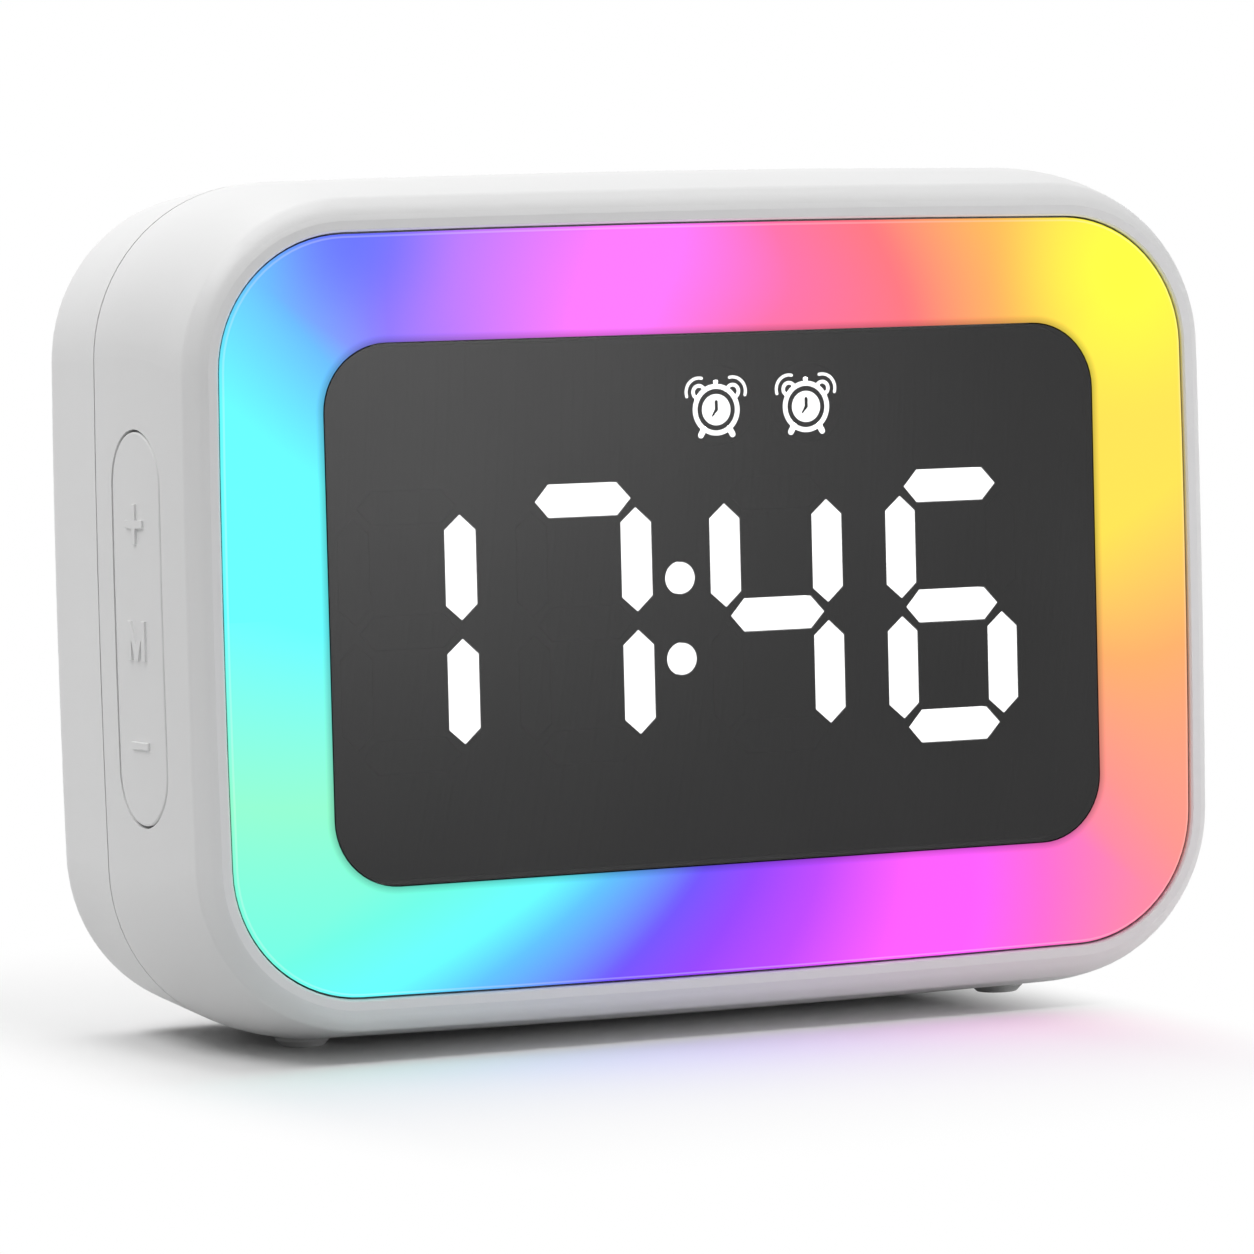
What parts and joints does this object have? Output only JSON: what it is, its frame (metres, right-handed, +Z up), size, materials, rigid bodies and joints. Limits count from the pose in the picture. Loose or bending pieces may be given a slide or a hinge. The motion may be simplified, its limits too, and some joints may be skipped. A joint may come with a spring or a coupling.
{
  "type": "speaker clock",
  "caption": "Rounded tabletop clock with a lit colour border round a dark digit window, a side key strip and a rear-firing loudspeaker.",
  "frame": {"origin": "on the standing surface, under the middle of the body's box", "axes": "+Z up, the display faces -Y, the key strip is on -X"},
  "size_m": [0.139, 0.0494, 0.1042],
  "materials": {
    "shell_white": "fine satin moulding",
    "grille_white": "satin paint",
    "milky_panel": "milky, lit from behind in a run of colours",
    "smoked_lens": "dark and polished",
    "digit_white": "milky, lit",
    "digit_off": "milky, unlit behind smoke",
    "box_black": "matte black",
    "reflector_white": "matte white",
    "board_green": "satin solder mask",
    "led_white": "moulded",
    "screw_steel": "plated",
    "foot_rubber": "matte grey",
    "switch_black": "moulded",
    "basket_black": "stamped, painted",
    "plate_steel": "zinc plated",
    "ferrite": "sintered",
    "cone_paper": "pressed pulp",
    "surround_rubber": "matte",
    "spider_cloth": "impregnated cloth",
    "coil_copper": "enamelled wire",
    "chip_black": "moulded",
    "connector_white": "moulded",
    "socket_steel": "nickel plated",
    "cell_can": "shrink wrapped"
  },
  "bodies": {
    "clock": {"housing": "shell_white", "rear_cover": "shell_white", "speaker_grille": "grille_white", "light_panel": "milky_panel", "display_lens": "smoked_lens", "lit_segments": "digit_white", "icon_inserts": "digit_white", "unlit_segments": "digit_off", "light_box": "box_black", "battery_holder": "box_black", "reflector_frame": "reflector_white", "front_board": "board_green", "main_board": "board_green", "key_board": "board_green", "ring_leds": "led_white", "segment_leds": "led_white", "front_board_screws": "screw_steel", "main_board_screws": "screw_steel", "speaker_screws": "screw_steel", "cover_screws": "screw_steel", "foot_front_left": "foot_rubber", "foot_front_right": "foot_rubber", "foot_rear_left": "foot_rubber", "foot_rear_right": "foot_rubber", "key_switches": "switch_black", "speaker_basket": "basket_black", "speaker_top_plate": "plate_steel", "speaker_yoke": "plate_steel", "speaker_magnet": "ferrite", "speaker_surround": "surround_rubber", "speaker_gasket": "surround_rubber", "speaker_spider": "spider_cloth", "processor_chip": "chip_black", "amplifier_chip": "chip_black", "capacitors": "chip_black", "wire_connectors": "connector_white", "usb_socket": "socket_steel", "wireless_module": "socket_steel", "battery_cell": "cell_can"},
    "key_strip": {"key_strip": "shell_white"},
    "plus_plunger": {"plus_plunger": "switch_black"},
    "mode_plunger": {"mode_plunger": "switch_black"},
    "minus_plunger": {"minus_plunger": "switch_black"},
    "speaker_cone": {"speaker_cone": "cone_paper", "dust_cap": "cone_paper", "voice_coil": "coil_copper"}
  },
  "joints": [
    {"name": "key_press", "type": "slide", "parent": "clock", "child": "key_strip", "axis": [1, 0, 0], "range_m": [0, 0.0003], "stiffness_N_per_m": 1500},
    {"name": "plus_plunge", "type": "slide", "parent": "clock", "child": "plus_plunger", "axis": [1, 0, 0], "range_m": [0, 0.0003]},
    {"name": "mode_plunge", "type": "slide", "parent": "clock", "child": "mode_plunger", "axis": [1, 0, 0], "range_m": [0, 0.0003]},
    {"name": "minus_plunge", "type": "slide", "parent": "clock", "child": "minus_plunger", "axis": [1, 0, 0], "range_m": [0, 0.0003]},
    {"name": "cone_stroke", "type": "slide", "parent": "clock", "child": "speaker_cone", "axis": [0, 1, 0], "range_m": [-0.0008, 0.0008], "stiffness_N_per_m": 1000}
  ],
  "couplings": [
    {"joint": "plus_plunge", "follows": "key_press", "ratio": 1},
    {"joint": "mode_plunge", "follows": "key_press", "ratio": 1},
    {"joint": "minus_plunge", "follows": "key_press", "ratio": 1}
  ]
}
